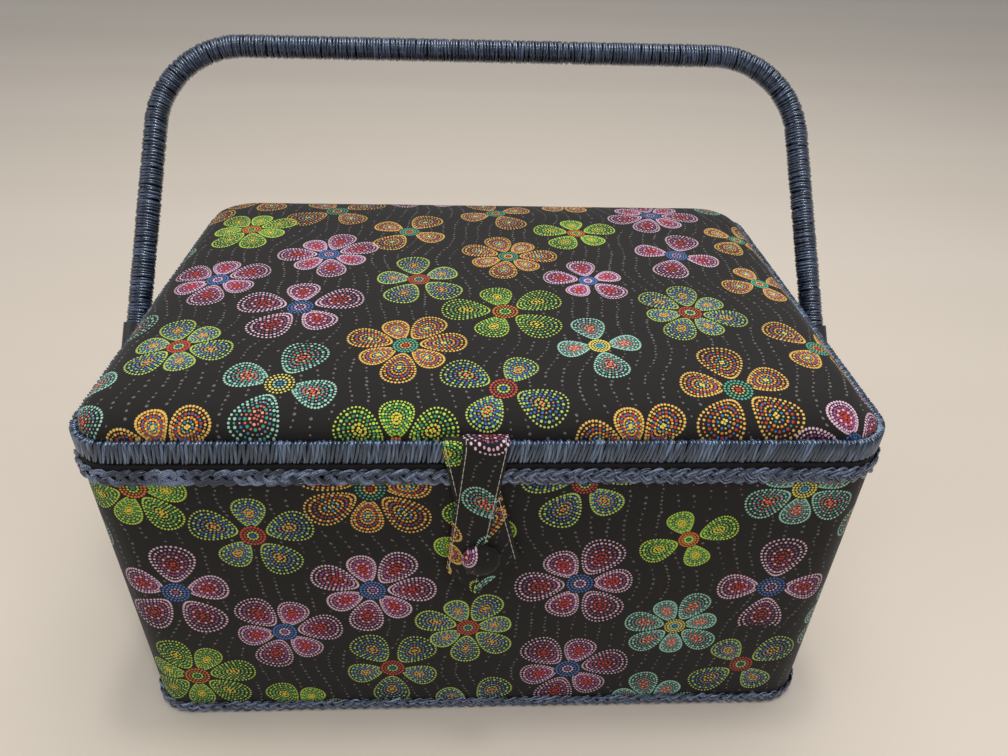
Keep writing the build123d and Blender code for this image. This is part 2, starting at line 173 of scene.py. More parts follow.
for name, place, size, power in (
    ("lamp_overhead", (0.15, 0.14, 1.55), 1.2, 12.5),
    ("lamp_centre", (0.05, 0.0, 1.6), 0.14, 3.6),
    ("lamp_front", (0.35, -0.8, 1.45), 0.14, 3.0),
    ("lamp_left", (-1.6, -0.6, 0.9), 1.2, 3.8),
):
    lamp = add_object(name, bpy.data.lights.new(name, "AREA"))
    lamp.data.size = size
    lamp.data.energy = power
    lamp.data.color = (1.0, 0.965, 0.91)
    lamp.location = place
    lamp.rotation_euler = (Vector((0, 0, 0.1)) - lamp.location).to_track_quat("-Z", "Y").to_euler()
surround = bpy.data.worlds.new("surround")
surround.use_nodes = True
surround.node_tree.nodes["Background"].inputs["Color"].default_value = (0.95, 0.96, 1.0, 1)
surround.node_tree.nodes["Background"].inputs["Strength"].default_value = 0.38
bpy.context.scene.world = surround


# Printed cotton round the body. One black cloth printed with dotted flowers and trails of grey dots,
# glued round the fibreboard walls, turned over their top edge and glued down inside.
lid_width, lid_depth, corner = 320 * mm, 228 * mm, 19 * mm
body_inset, cloth_thickness, wall_thickness = 0.3 * mm, 0.8 * mm, 4.0 * mm


def outline(inset, radius=None, corner_steps=8, side_steps=(12, 18, 24, 18, 12)):
    """Points round the box at an inset from the lid rim's face, anticlockwise from the middle of the back."""
    radius = corner - inset if radius is None else radius
    spots, steps = [Vector((0, lid_depth / 2 - inset))], []
    for quarter in (1, 2, 3, 4):
        middle = (quarter + 0.5) * pi / 2
        centre = Vector((
            copysign(lid_width / 2 - inset - radius, cos(middle)),
            copysign(lid_depth / 2 - inset - radius, sin(middle)),
        ))
        steps += [side_steps[quarter - 1]] + [1] * corner_steps
        for step in range(corner_steps + 1):
            angle = (quarter + step / corner_steps) * pi / 2
            spots.append(centre + radius * Vector((cos(angle), sin(angle))))
    steps.append(side_steps[4])
    spots.append(spots[0])
    ring = []
    for start, end, parts in zip(spots, spots[1:], steps):
        ring += [start.lerp(end, part / parts) for part in range(parts)]
    return np.array(ring)


def lengths(points):
    """How far along a line of points each one is."""
    return np.r_[0, np.cumsum(np.linalg.norm(np.diff(points, axis=0), axis=1))]


def skin(name, points, cloth, material, closed=(False, True), ends=False):
    """Cover rows of points with faces and cloth coordinates. closed tells which ways they go round."""
    points, cloth = np.array(points, float), np.array(cloth, float)
    rows, columns = points.shape[:2]
    faces, corners = [], []
    for row in range(rows - (not closed[0])):
        for column in range(columns - (not closed[1])):
            grid = [(row, column), (row, column + 1), (row + 1, column + 1), (row + 1, column)]
            faces.append([(i % rows) * columns + j % columns for i, j in grid])
            corners += [cloth[i, j] for i, j in grid]
    if ends:
        faces.append(list(range(columns))[::-1])
        faces.append(list(range((rows - 1) * columns, rows * columns)))
        corners += [cloth[0, j] for j in reversed(range(columns))]
        corners += [cloth[rows - 1, j] for j in range(columns)]
    mesh = bpy.data.meshes.new(name)
    mesh.from_pydata(points.reshape(-1, 3).tolist(), [], faces)
    mesh.uv_layers.new(name="cloth").data.foreach_set("uv", np.array(corners, np.float32).ravel())
    mesh.materials.append(material)
    mesh.shade_smooth()
    mesh.set_sharp_from_angle(angle=radians(50))
    return add_object(name, mesh)


def finished(piece):
    """Apply a piece's modifiers."""
    depsgraph = bpy.context.evaluated_depsgraph_get()
    made = bpy.data.meshes.new_from_object(
        piece.evaluated_get(depsgraph), preserve_all_data_layers=True, depsgraph=depsgraph
    )
    piece.modifiers.clear()
    piece.data = made


def turn_outward(piece, fill_holes=False):
    """Turn a piece's faces outward, once any holes in it are filled."""
    build = bmesh.new()
    build.from_mesh(piece.data)
    if fill_holes:
        bmesh.ops.holes_fill(build, edges=build.edges)
    bmesh.ops.recalc_face_normals(build, faces=build.faces)
    build.to_mesh(piece.data)
    build.free()


def stand(outline_points, height):
    """Give flat outline points one height."""
    return np.c_[outline_points, np.full(len(outline_points), height)]


def cell_chance(tree, column, row, shift):
    """Three random amounts that stay the same all over one cell of the print."""
    place = add_node(tree, "ShaderNodeCombineXYZ", {0: column + shift, 1: row, 2: 0.0}).outputs[0]
    chance = add_node(tree, "ShaderNodeTexWhiteNoise", {"Vector": place}, noise_dimensions="2D")
    parts = add_node(tree, "ShaderNodeSeparateColor", {0: chance.outputs["Color"]})
    return [Amount(tree, parts.outputs[i]) for i in range(3)]


def dotted_flowers(tree, right, up, cell, reach, shift):
    """Flowers of ringed dots, one in each cell, in millimetres: their dots, spread in a petal and ink."""
    column, row = (right / cell[0]).math("FLOOR"), (up / cell[1]).math("FLOOR")
    first, second, swing = cell_chance(tree, column, row, shift)
    palette, petals, size = cell_chance(tree, column, row, shift + 31.0)
    x = right - (column + 0.5) * cell[0] - (first - 0.5) * 10.0
    y = up - (row + 0.5) * cell[1] - (second - 0.5) * 6.0
    reach = (size * 0.2 + 0.8) * reach
    leaves = (petals * 3.99).math("FLOOR") + 4.0
    wedge = leaves.math("POWER", -1.0) * (2 * pi)
    turned = y.math("ARCTAN2", x) + swing * 6.28 + 2 * pi
    petal = (turned / wedge).math("FLOOR")
    aside = turned - (petal + 0.5) * wedge
    petal_reach = reach * (1.0 - petal.math("MODULO", leaves).math("MODULO", 2.0) * 0.2)
    radius = (x * x + y * y).math("SQRT")
    heart = radius.math("LESS_THAN", reach * 0.22)
    half_long = petal_reach * 0.395
    half_wide = (petal_reach * 0.55 * (wedge * 0.5).math("TANGENT")).math("MINIMUM", half_long * 0.8)
    along = radius * aside.math("COSINE") - petal_reach + half_long
    across = radius * aside.math("SINE")
    along, across = along + (x - along) * heart, across + (y - across) * heart
    half_long = half_long + (reach * 0.21 - half_long) * heart
    half_wide = half_wide + (reach * 0.21 - half_wide) * heart
    taper = 0.42 - heart * 0.42
    u = along / half_long
    v = across / half_wide / (u * taper + 1.0)
    spread = (u * u + v * v).math("SQRT")
    rings = 6.0 - heart * 2.0
    ring = (spread * rings).math("FLOOR")
    ring_spread = (ring + 0.5) / rings
    count = ring * (6.6 - heart * 0.6) + 4.0
    number = ((v.math("ARCTAN2", u) + pi) * count / (2 * pi)).math("FLOOR")
    dot_turn = (number + 0.5) * (2 * pi) / count - pi
    dot_u, dot_v = ring_spread * dot_turn.math("COSINE"), ring_spread * dot_turn.math("SINE")
    off_along = along - half_long * dot_u
    off_across = across - half_wide * dot_v * (dot_u * taper + 1.0)
    distance = (off_along * off_along + off_across * off_across).math("SQRT")
    every_other = (number.math("MODULO", 2.0) - 0.5) * ring.math("LESS_THAN", 4.5) * (1.0 - heart)
    dot_size = (ring * 2.3 + swing * 9.0).math("SINE") * 0.06 + 0.54 + every_other * 0.16
    dots = ((dot_size - distance) * 8.0).math("MINIMUM", 1.0).math("MAXIMUM", 0.0)
    band = (ring * 0.8 + every_other * ring.math("GREATER_THAN", 0.5) * 1.8).math("FLOOR")
    band = band.math("MAXIMUM", 0.0).math("MINIMUM", 4.0)
    band = band + ((ring + 3.0).math("MINIMUM", 5.0) - band) * heart
    return dots * spread.math("LESS_THAN", 1.0), spread, (palette * 4.99).math("FLOOR") + (band + 0.5) / 6.0


trail_lane, flower_cell, half_drop, clear_of_flower = 6.6, (88.0, 58.0), (44.0, 29.0), 1.15


def printed_cotton(name):
    """Black cotton in a plain weave, printed with dotted flowers and wandering trails of grey dots."""
    tree, shader, material = finish_of(name, Roughness=0.82, Sheen_Weight=0.1, Sheen_Roughness=0.45)
    shader.inputs["Specular IOR Level"].default_value = 0.25
    flat = add_node(tree, "ShaderNodeUVMap", uv_map="cloth").outputs[0]
    parts = add_node(tree, "ShaderNodeSeparateXYZ", {0: flat})
    right, up = Amount(tree, parts.outputs[0]) * 1000.0, Amount(tree, parts.outputs[1]) * 1000.0

    wander = (up * 0.055).math("SINE") * 5.0 + (up * 0.13 + right * 0.02).math("SINE") * 2.2
    lane_place = (right + wander) / trail_lane
    lane = lane_place.math("FLOOR")
    lane_shift, lane_pitch, _ = cell_chance(tree, lane, lane * 0.0, 3.0)
    bead_pitch = lane_pitch * 1.2 + 2.1
    along = (up + lane_shift * 40.0) / bead_pitch
    bead = along.math("FLOOR")
    bead_size, bead_side, bead_kept = cell_chance(tree, lane, bead, 7.0)
    x = (lane_place - lane - 0.5) * trail_lane + (bead_side - 0.5) * 0.8
    y = (along - bead - 0.5) * bead_pitch
    trail = ((bead_size * 0.35 + 0.36) - (x * x + y * y).math("SQRT")) * 6.0
    trail = trail.math("MINIMUM", 1.0).math("MAXIMUM", 0.0) * bead_kept.math("GREATER_THAN", 0.06)

    palettes = (
        (
            (0.80, 0.62, 0.06), (0.50, 0.62, 0.08), (0.10, 0.44, 0.06),
            (0.03, 0.28, 0.13), (0.50, 0.70, 0.09), (0.78, 0.22, 0.04),
        ),
        (
            (0.60, 0.04, 0.03), (0.50, 0.05, 0.10), (0.80, 0.42, 0.56),
            (0.28, 0.12, 0.40), (0.78, 0.52, 0.66), (0.08, 0.22, 0.60),
        ),
        (
            (0.80, 0.62, 0.10), (0.05, 0.22, 0.50), (0.76, 0.22, 0.03),
            (0.50, 0.05, 0.03), (0.80, 0.50, 0.12), (0.10, 0.44, 0.30),
        ),
        (
            (0.80, 0.30, 0.10), (0.30, 0.60, 0.12), (0.07, 0.18, 0.52),
            (0.04, 0.12, 0.34), (0.46, 0.62, 0.14), (0.62, 0.08, 0.05),
        ),
        (
            (0.72, 0.16, 0.10), (0.80, 0.40, 0.30), (0.04, 0.36, 0.26),
            (0.05, 0.24, 0.38), (0.36, 0.64, 0.50), (0.80, 0.66, 0.12),
        ),
    )
    stops = [
        ((number + band / 6) / len(palettes), colour)
        for number, palette in enumerate(palettes)
        for band, colour in enumerate(palette)
    ]
    large, large_spread, large_ink = dotted_flowers(tree, right, up, flower_cell, 31.0, 0.0)
    small, small_spread, small_ink = dotted_flowers(
        tree, right + half_drop[0], up + half_drop[1], flower_cell, 27.0, 57.0
    )
    trail = trail * large_spread.math("GREATER_THAN", clear_of_flower)
    trail = trail * small_spread.math("GREATER_THAN", clear_of_flower)
    colour = (0.0130, 0.0118, 0.0114, 1)
    # Where a point's 'plain' amount is 1 the print is left off, and the bare black ground there is painted
    # shade.
    printed = 1.0 - Amount(tree, add_node(tree, "ShaderNodeAttribute", attribute_name="plain").outputs["Fac"])
    for dots, ink in ((trail, (0.15, 0.14, 0.135, 1)), (small, small_ink), (large, large_ink)):
        if isinstance(ink, Amount):
            ink = colours(tree, ink / len(palettes), stops, "CONSTANT")
        mixed = add_node(tree, "ShaderNodeMix", {0: dots * printed, 6: colour, 7: ink}, data_type="RGBA")
        colour = mixed.outputs[2]
    tree.links.new(colour, shader.inputs["Base Color"])
    weave = (right * 9.5).math("SINE") * (up * 9.5).math("SINE")
    slack = cloudy(tree, 28.0)
    raise_surface(tree, shader, weave * 0.05 + slack * 2.6, 0.5 * mm, 0.5)
    return material


cotton = printed_cotton("printed_cotton")
turned = wall_thickness + cloth_thickness
body_top = 156.4 * mm
body_section = [(0.3 * mm, 0.3 * mm)]
body_section += [(0.3 * mm, height * mm) for height in (*range(10, 151, 10), 151.9, 152.1)]
body_section += [(0.3 * mm, 155.6 * mm), (0.55 * mm, 156.2 * mm), (1.1 * mm, body_top)]
body_section += [(5.1 * mm, body_top), (5.7 * mm, 156.2 * mm), (5.9 * mm, 155.6 * mm), (5.9 * mm, 144.4 * mm)]
body_section += [(5.1 * mm, 144.4 * mm), (5.1 * mm, 155.6 * mm), (1.1 * mm, 155.6 * mm), (1.1 * mm, 0.3 * mm)]
run = lengths(np.vstack([outline(body_inset), outline(body_inset)[:1]]))
rise = lengths(np.array(body_section + body_section[:1]))
body_cloth = skin(
    "body_cloth",
    [stand(outline(inset), height) for inset, height in body_section],
    np.stack(np.meshgrid(run, rise), axis=-1),
    cotton,
    closed=(True, True),
)
# The strip of body cloth above 152 mm is left unprinted: its bare black is painted shade, for the shaded gap
# between the top plait and the lid rim.
plain = body_cloth.data.attributes.new("plain", "FLOAT", "POINT")
plain.data.foreach_set("value", [float(vertex.co.z > 0.152) for vertex in body_cloth.data.vertices])
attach(body_cloth, "box")
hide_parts("body_cover")


# Plaits round the body. Each is three bundles of twisted glossy navy paper strips in a flat plait, one
# under the lid and one round the foot; the upper one stops at each hinge.
class Recipe:
    """A Geometry Nodes tree with named sizes. It runs once on a line of points, and leaves a plain mesh."""

    def __init__(self, name, **sizes):
        self.tree = bpy.data.node_groups.new(name, "GeometryNodeTree")
        self.sizes = sizes
        faces = self.tree.interface
        faces.new_socket("Line", in_out="INPUT", socket_type="NodeSocketGeometry")
        for label in sizes:
            faces.new_socket(label, in_out="INPUT", socket_type="NodeSocketFloat")
        faces.new_socket("Piece", in_out="OUTPUT", socket_type="NodeSocketGeometry")
        self.given = self.tree.nodes.new("NodeGroupInput")
        self.line = self.given.outputs["Line"]

    def size(self, label):
        return Amount(self.tree, self.given.outputs[label])

    def add(self, kind, inputs=None, **settings):
        return add_node(self.tree, kind, inputs, **settings)

    def parts(self, vector):
        split = self.add("ShaderNodeSeparateXYZ", {0: vector})
        return [Amount(self.tree, socket) for socket in split.outputs]

    def keep(self, geometry, label, amount, domain="POINT"):
        return self.add(
            "GeometryNodeStoreNamedAttribute",
            {"Geometry": geometry, "Name": label, "Value": amount},
            data_type="FLOAT",
            domain=domain,
        ).outputs[0]

    def place(self, geometry, x, y, z):
        spot = self.add("ShaderNodeCombineXYZ", {0: x, 1: y, 2: z}).outputs[0]
        return self.add("GeometryNodeSetPosition", {"Geometry": geometry, "Position": spot}).outputs[0]

    def chance(self, low, high, seed):
        limits = {"Min": low, "Max": high, "Seed": seed}
        random = self.add("FunctionNodeRandomValue", limits, data_type="FLOAT")
        return Amount(self.tree, random.outputs[1])

    def run(self, name, lines, geometry, material):
        whole = self.add("GeometryNodeRealizeInstances", {0: geometry}).outputs[0]
        whole = self.add("GeometryNodeMergeByDistance", {0: whole, "Distance": 0.01 * mm}).outputs[0]
        whole = self.add("GeometryNodeSetShadeSmooth", {0: whole}).outputs[0]
        whole = self.add("GeometryNodeSetMaterial", {0: whole, "Material": material}).outputs[0]
        self.add("NodeGroupOutput", {0: whole})
        spots = [tuple(spot) for line, _ in lines for spot in line]
        edges, first = [], 0
        for line, closed in lines:
            edges += [(first + i, first + i + 1) for i in range(len(line) - 1)]
            edges += [(first + len(line) - 1, first)] if closed else []
            first += len(line)
        mesh = bpy.data.meshes.new(name)
        mesh.from_pydata(spots, edges, [])
        piece = add_object(name, mesh)
        modifier = piece.modifiers.new(name, "NODES")
        modifier.node_group = self.tree
        for item in self.tree.interface.items_tree:
            if item.name in self.sizes:
                modifier[item.identifier] = self.sizes[item.name]
        finished(piece)
        return piece


def paper_yarn(name, shades, roughness, fuzz, varied):
    """Glossy twisted paper yarn: fine fibres run along it, and each strand has its own shade."""
    gloss = {"Roughness": roughness, "IOR": 1.55, "Coat_Weight": 0.5, "Coat_Roughness": 0.14}
    tree, shader, material = finish_of(name, **gloss)
    shader.inputs["Specular IOR Level"].default_value = 1.0
    shader.inputs["Specular Tint"].default_value = (0.62, 0.78, 1.0, 1)
    along, side, tone = (
        Amount(tree, add_node(tree, "ShaderNodeAttribute", attribute_name=label).outputs["Fac"])
        for label in ("along", "side", "tone")
    )
    spot = {0: side * 7.0 + along * 300.0, 1: along * 120.0, 2: tone * 40.0}
    place = add_node(tree, "ShaderNodeCombineXYZ", spot)
    fibres = add_node(tree, "ShaderNodeTexNoise", {"Vector": place.outputs[0], "Scale": 1.0, "Detail": 2.0})
    fibres = Amount(tree, fibres.outputs[0])
    shade = fibres * 1.1 + tone * varied - 0.05 - varied * 0.5
    tint(tree, shader, shade, list(zip((0.26, 0.5, 0.76), shades)))
    raise_surface(tree, shader, fibres, 0.12 * mm, fuzz)
    return material


# The strap presses the plait flat where it lies over it: the middle and half width of that stretch, how
# far forward it is, and how far the pressed plait stands out.
pressed_x, pressed_half, pressed_depth, pressed_out = -1 * mm, 23 * mm, 100 * mm, 1.55 * mm
plait_stand_off = 0.95 * mm


def plait(name, lines, width, period, material):
    """Plait three bundles of four twisted strips along lines that run round the body."""
    strip = {"Strip": 0.6 * mm, "Thickness": 0.32 * mm, "Spacing": 0.94 * mm, "Weave": 0.62 * mm}
    recipe = Recipe(name, Width=width, Period=period, **strip)
    wide, every, half_strip, thick, spacing, weave = (recipe.size(label) for label in recipe.sizes)
    curve = recipe.add("GeometryNodeMeshToCurve", {0: recipe.line}).outputs[0]
    line_length = Amount(recipe.tree, recipe.add("GeometryNodeCurveLength", {0: curve}).outputs[0])
    steps = line_length / (every * 0.075)
    turns = (line_length / every).math("ROUND") * (2 * pi)
    swing = wide * 0.5 - spacing * 1.5 - thick * 1.5
    yarns = recipe.add("GeometryNodeJoinGeometry")
    for number in range(12):
        bundle, place = number // 4, number % 4 - 1.5
        grid = recipe.add("GeometryNodeMeshGrid", {"Vertices X": steps, "Vertices Y": 7})
        share, side, _ = recipe.parts(grid.outputs["UV Map"])
        along = share * line_length
        on_line = recipe.add("GeometryNodeSampleCurve", {"Curves": curve, "Length": along}, mode="LENGTH")
        x, y, z = recipe.parts(on_line.outputs["Position"])
        ahead_x, ahead_y, _ = recipe.parts(on_line.outputs["Tangent"])
        phase = share * turns + bundle * 2 * pi / 3
        stray = (along * (310 + number * 37) + number * 2.1).math("SINE") * 0.2 * mm
        end = (along.math("MINIMUM", line_length - along) * 900.0).math("MINIMUM", 1.0)
        across = side * (2 * pi)
        slim = (phase * 2.0).math("COSINE") * 0.18 + 0.88
        bend = phase.math("SINE")
        lift = bend * (1.12 - bend * bend * 0.12) * swing + spacing * place * slim + stray
        twist = (along * (330 + number * 31) + number * 1.7).math("SINE") * 0.75
        flat, thin = across.math("COSINE") * half_strip, across.math("SINE") * thick
        lift = lift + (flat * twist.math("COSINE") - thin * twist.math("SINE")) * end
        out = (phase * 2.0).math("SINE") * weave - 0.07 * mm * place * place + 0.1 * mm * (number % 2)
        out = out + (flat * twist.math("SINE") + thin * twist.math("COSINE")) * end
        out = out + plait_stand_off + stray * 0.5
        kept = recipe.keep(grid.outputs["Mesh"], "along", along + number * 0.4)
        kept = recipe.keep(kept, "side", side)
        tone = (along * (130 + number * 13) + number * 2.4).math("SINE") * 0.5 + 0.5
        kept = recipe.keep(kept, "tone", tone)
        beyond_strap = ((x - pressed_x).math("ABSOLUTE") - pressed_half).math("MAXIMUM", y + pressed_depth)
        out = out.math("MINIMUM", beyond_strap.math("MAXIMUM", 0.0) * 0.5 + pressed_out)
        placed = recipe.place(kept, x + ahead_y * out, y - ahead_x * out, z + lift)
        recipe.tree.links.new(placed, yarns.inputs[0])
    return recipe.run(name, lines, yarns.outputs[0], material)


yarn_shades = ((0.002, 0.003, 0.010), (0.014, 0.021, 0.050), (0.26, 0.33, 0.52))
plait_yarn = paper_yarn("plaited_paper_yarn", yarn_shades, 0.22, 0.5, 0.4)
hinge_centre, hinge_width = 95 * mm, 27 * mm
plait_top, top_plait_height, foot_plait_height = 155.3 * mm, 8.8 * mm, 7.4 * mm
foot_plait_middle, plait_period, hinge_gap = 3.9 * mm, 15.5 * mm, 1.2 * mm
around = outline(body_inset, corner_steps=16)
plait_end = hinge_centre + hinge_width / 2 + hinge_gap
back = lid_depth / 2 - body_inset
clear = around[~((around[:, 1] > back - 0.01 * mm) & (abs(around[:, 0]) < plait_end))]
top_height = plait_top - top_plait_height / 2
long_piece = stand(np.vstack([[-plait_end, back], clear, [plait_end, back]]), top_height)
short_end = hinge_centre - hinge_width / 2 - hinge_gap
short_piece = stand(np.linspace((short_end, back), (-short_end, back), 20), top_height)
for name, lines, height, node in (
    ("top_plait", [(long_piece, False)], top_plait_height, "top_braid"),
    ("top_plait_between_hinges", [(short_piece, False)], top_plait_height, "top_braid"),
    ("foot_plait", [(stand(around, foot_plait_middle), True)], foot_plait_height, "base_braid"),
):
    piece = plait(name, lines, height, plait_period, plait_yarn)
    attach(piece, "box")
    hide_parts(node)


# Lid top. The same cotton drawn over a foam pad on the lid board, so that it stands up steeply at
# the rim, less so on the right, and rises slowly to the middle; its edge is tucked in behind the rim.
rim_top, pad_inset = 166.8 * mm, 3.3 * mm
edge_run, edge_rise, middle_run, middle_rise = 19 * mm, 10.4 * mm, 70 * mm, 2.6 * mm


def crown_rise(run):
    """Height of the padded lid above the rim at a distance in from its edge."""
    edge = min(run / edge_run, 1)
    middle = min(max(run - edge_run, 0) / middle_run, 1)
    return edge_rise * (1 - (1 - edge) ** 2) ** 0.5 + middle_rise * (1 - (1 - middle) ** 2) ** 0.5


runs = [step * mm for step in (0, 0.3, 0.8, 1.6, 2.8, 4.5, 6.5, 9, 12, 15.5, 20, 26, 33, 41, 50)]
sides = (26, 38, 52, 38, 26)
lid_rows, lid_heights = [], []
for distance in runs:
    radius = corner - pad_inset + 0.3 * distance
    lid_rows.append(outline(pad_inset + distance, radius, side_steps=sides))
    lid_heights.append(crown_rise(distance))
for share in (0.88, 0.74, 0.58, 0.42, 0.26, 0.12, 0.04):
    lid_rows.append(lid_rows[len(runs) - 1] * share)
    lid_heights.append(crown_rise(runs[-1] + (1 - share) * (lid_depth / 2 - pad_inset - runs[-1])))
lid_rows, lid_heights = np.array(lid_rows), np.array(lid_heights)
flat_steps = lid_rows[1:, 0, 1] - lid_rows[:-1, 0, 1]
cloth_runs = np.r_[0, np.cumsum(np.hypot(flat_steps, np.diff(lid_heights)) - abs(flat_steps))]
outward = outline(0, corner, side_steps=sides) - outline(corner * 0.5, corner * 0.5, side_steps=sides)
outward = outward / np.linalg.norm(outward, axis=1)[:, None]
lid_points, lid_cloth_places = [], []
far_inside = 1.0
distances = runs + [far_inside] * (len(lid_rows) - len(runs))
for row, distance, height, gathered in zip(lid_rows, distances, lid_heights, cloth_runs):
    puckers = [
        noise.noise(Vector((x * 70, y * 70, 0)))
        * 0.35 * mm * (1 - height / (14 * mm)) * min(height / (2 * mm), 1)
        + noise.noise(Vector((x * 14, y * 14, 5))) * 0.5 * mm * min(height / (8 * mm), 1)
        for x, y in row
    ]
    slacker = outward[:, 0].clip(0, 1) ** 2 * max(height - 0.3 * mm - 0.95 * distance, 0)
    lid_points.append(np.c_[row, rim_top + 0.12 * mm + height - slacker + np.array(puckers)])
    flat = row + outward * (cloth_runs[-1] - gathered) + np.array((0.211, 0.353))
    lid_cloth_places.append(np.vstack([flat, flat[:1]]))
lid_points = np.array(lid_points)
for inset, height in ((3.21, -0.2), (3.21, -1.5), (3.27, -1.5), (3.27, 0.03), (4.5, 0.03)):
    row = stand(outline(inset * mm, corner - inset * mm, side_steps=sides), rim_top + height * mm)
    lid_points = np.vstack([[row], lid_points])
    lid_cloth_places.insert(0, lid_cloth_places[0])
lid_cloth = skin("lid_cloth", lid_points, lid_cloth_places, cotton, ends=True)
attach(lid_cloth, "lid")
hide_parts("lid_cover", "lid_pad")


# Lid rim. A flat cane hoop wrapped crosswise, strand beside strand, in slate-blue paper yarn; the
# wrapping stops on each side of the strap's two tails at the front.
def wrapping(name, lines, pitch, deep, high, square, strand, lean, sway, upright, material, turned_by=None):
    """Lay closed loops of yarn side by side round a core whose section is deep, high and square."""
    strand = {"Strand_Width": strand[0], "Strand_Thickness": strand[1]}
    recipe = Recipe(name, Pitch=pitch, Depth=deep, Height=high, **strand, Lean=lean)
    grid = recipe.add("GeometryNodeMeshGrid", {"Vertices X": 13, "Vertices Y": 5})
    share, side, _ = recipe.parts(grid.outputs["UV Map"])
    angle, across = share * (2 * pi), side * (2 * pi)
    belly = angle.math("COSINE").math("ABSOLUTE") * 0.1 + 1.0
    swell = across.math("COSINE") * recipe.size("Strand_Thickness")
    half_deep = recipe.size("Depth") - recipe.size("Strand_Thickness") + swell * belly
    half_high = recipe.size("Height") - recipe.size("Strand_Thickness") + swell
    reach_y, reach_z = angle.math("COSINE"), angle.math("SINE")
    y = reach_y.math("SIGN") * reach_y.math("ABSOLUTE").math("POWER", 2 / square) * half_deep
    z = reach_z.math("SIGN") * reach_z.math("ABSOLUTE").math("POWER", 2 / square) * half_high
    x = across.math("SINE") * recipe.size("Strand_Width") * belly + recipe.size("Lean") * reach_z
    loop = recipe.keep(grid.outputs["Mesh"], "along", share * 0.03)
    loop = recipe.keep(loop, "side", side)
    loop = recipe.place(loop, x, y, z)
    loop = recipe.add("GeometryNodeMergeByDistance", {0: loop, "Distance": 0.01 * mm}).outputs[0]
    curve = recipe.add("GeometryNodeMeshToCurve", {0: recipe.line}).outputs[0]
    points = {"Curve": curve, "Length": recipe.size("Pitch")}
    curve = recipe.add("GeometryNodeResampleCurve", points, mode="LENGTH")
    ahead_x, ahead_y, ahead_z = recipe.parts(recipe.add("GeometryNodeInputTangent").outputs[0])
    sway = recipe.chance(-sway, sway, 3)
    if upright:
        heading = ahead_y.math("ARCTAN2", ahead_x)
        way = {0: 0.0, 1: sway, 2: heading + recipe.chance(-0.05, 0.05, 4)}
    else:
        heading = (ahead_z * -1.0).math("ARCTAN2", ahead_x)
        way = {0: recipe.chance(0, 6.28, 5), 1: heading + sway, 2: 0.0}
    way = recipe.add("ShaderNodeCombineXYZ", way).outputs[0]
    size = recipe.chance(0.975, 1.02, 6)
    scale = recipe.add("ShaderNodeCombineXYZ", {0: recipe.chance(0.93, 1.2, 7), 1: size, 2: size}).outputs[0]
    loops = recipe.add(
        "GeometryNodeInstanceOnPoints",
        {"Points": curve.outputs[0], "Instance": loop, "Rotation": way, "Scale": scale},
    ).outputs[0]
    loops = recipe.keep(loops, "tone", recipe.chance(0.0, 1.0, 8), "INSTANCE")
    if turned_by:
        loops = recipe.add("GeometryNodeRealizeInstances", {0: loops}).outputs[0]
        turned = {"Geometry": loops, "Translation": turned_by[0], "Rotation": turned_by[1]}
        loops = recipe.add("GeometryNodeTransform", turned).outputs[0]
    return recipe.run(name, lines, loops, material)


rim_thickness, rim_height = 3.2 * mm, 10 * mm
rear_leg_x, front_leg_x, strap_width = -8.2 * mm, -0.6 * mm, 17.5 * mm
tails_left = rear_leg_x - strap_width / 2 - 0.3 * mm
tails_right = front_leg_x + strap_width / 2 + 0.3 * mm
rim_line = outline(rim_thickness / 2, corner_steps=12)
rim_front = rim_line[:, 1].min()
between_tails = (tails_left < rim_line[:, 0]) & (rim_line[:, 0] < tails_right)
bare = (rim_line[:, 1] < rim_front + 0.01 * mm) & between_tails
rim_line = np.roll(rim_line, -np.flatnonzero(bare)[-1] - 1, axis=0)[: np.count_nonzero(~bare)]
rim_line = np.vstack([[tails_right - 2.6 * mm, rim_front], rim_line, [tails_left + 2.6 * mm, rim_front]])
rim_shades = ((0.002, 0.005, 0.014), (0.013, 0.025, 0.055), (0.16, 0.23, 0.36))
rim_yarn = paper_yarn("rim_paper_yarn", rim_shades, 0.24, 0.5, 0.22)
rim_wrap = wrapping(
    "rim_wrap",
    [(stand(rim_line, rim_top - rim_height / 2), False)],
    pitch=1.5 * mm,
    deep=rim_thickness / 2 + 0.1 * mm,
    high=rim_height / 2 + 0.1 * mm,
    square=7,
    strand=(1.02 * mm, 0.7 * mm),
    lean=1.2 * mm,
    sway=0.1,
    upright=True,
    material=rim_yarn,
)
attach(rim_wrap, "lid")
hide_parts("lid_rim_wrap")


# Handle winding. A bent plastic rod wound tightly in the same navy yarn from socket to socket.
pivot_height, handle_lean = 125 * mm, radians(36.15)
arm_spread, arm_lean, handle_reach, bend_radius, wind_start = 180 * mm, 0.069, 171 * mm, 45 * mm, 23.9 * mm


def rounded(spots, radius, steps):
    """A line through these spots, with an arc of this radius at each corner."""
    spots = [Vector(spot) for spot in spots]
    line = [spots[0]]
    for before, spot, after in zip(spots, spots[1:], spots[2:]):
        into, out = (before - spot).normalized(), (after - spot).normalized()
        half = into.angle(out) / 2
        reach = radius / tan(half)
        centre = spot + (into + out).normalized() * (radius / sin(half))
        start, end = spot + into * reach - centre, spot + out * reach - centre
        line += [centre + start.slerp(end, step / steps).normalized() * radius for step in range(steps + 1)]
    return line + [spots[-1]]


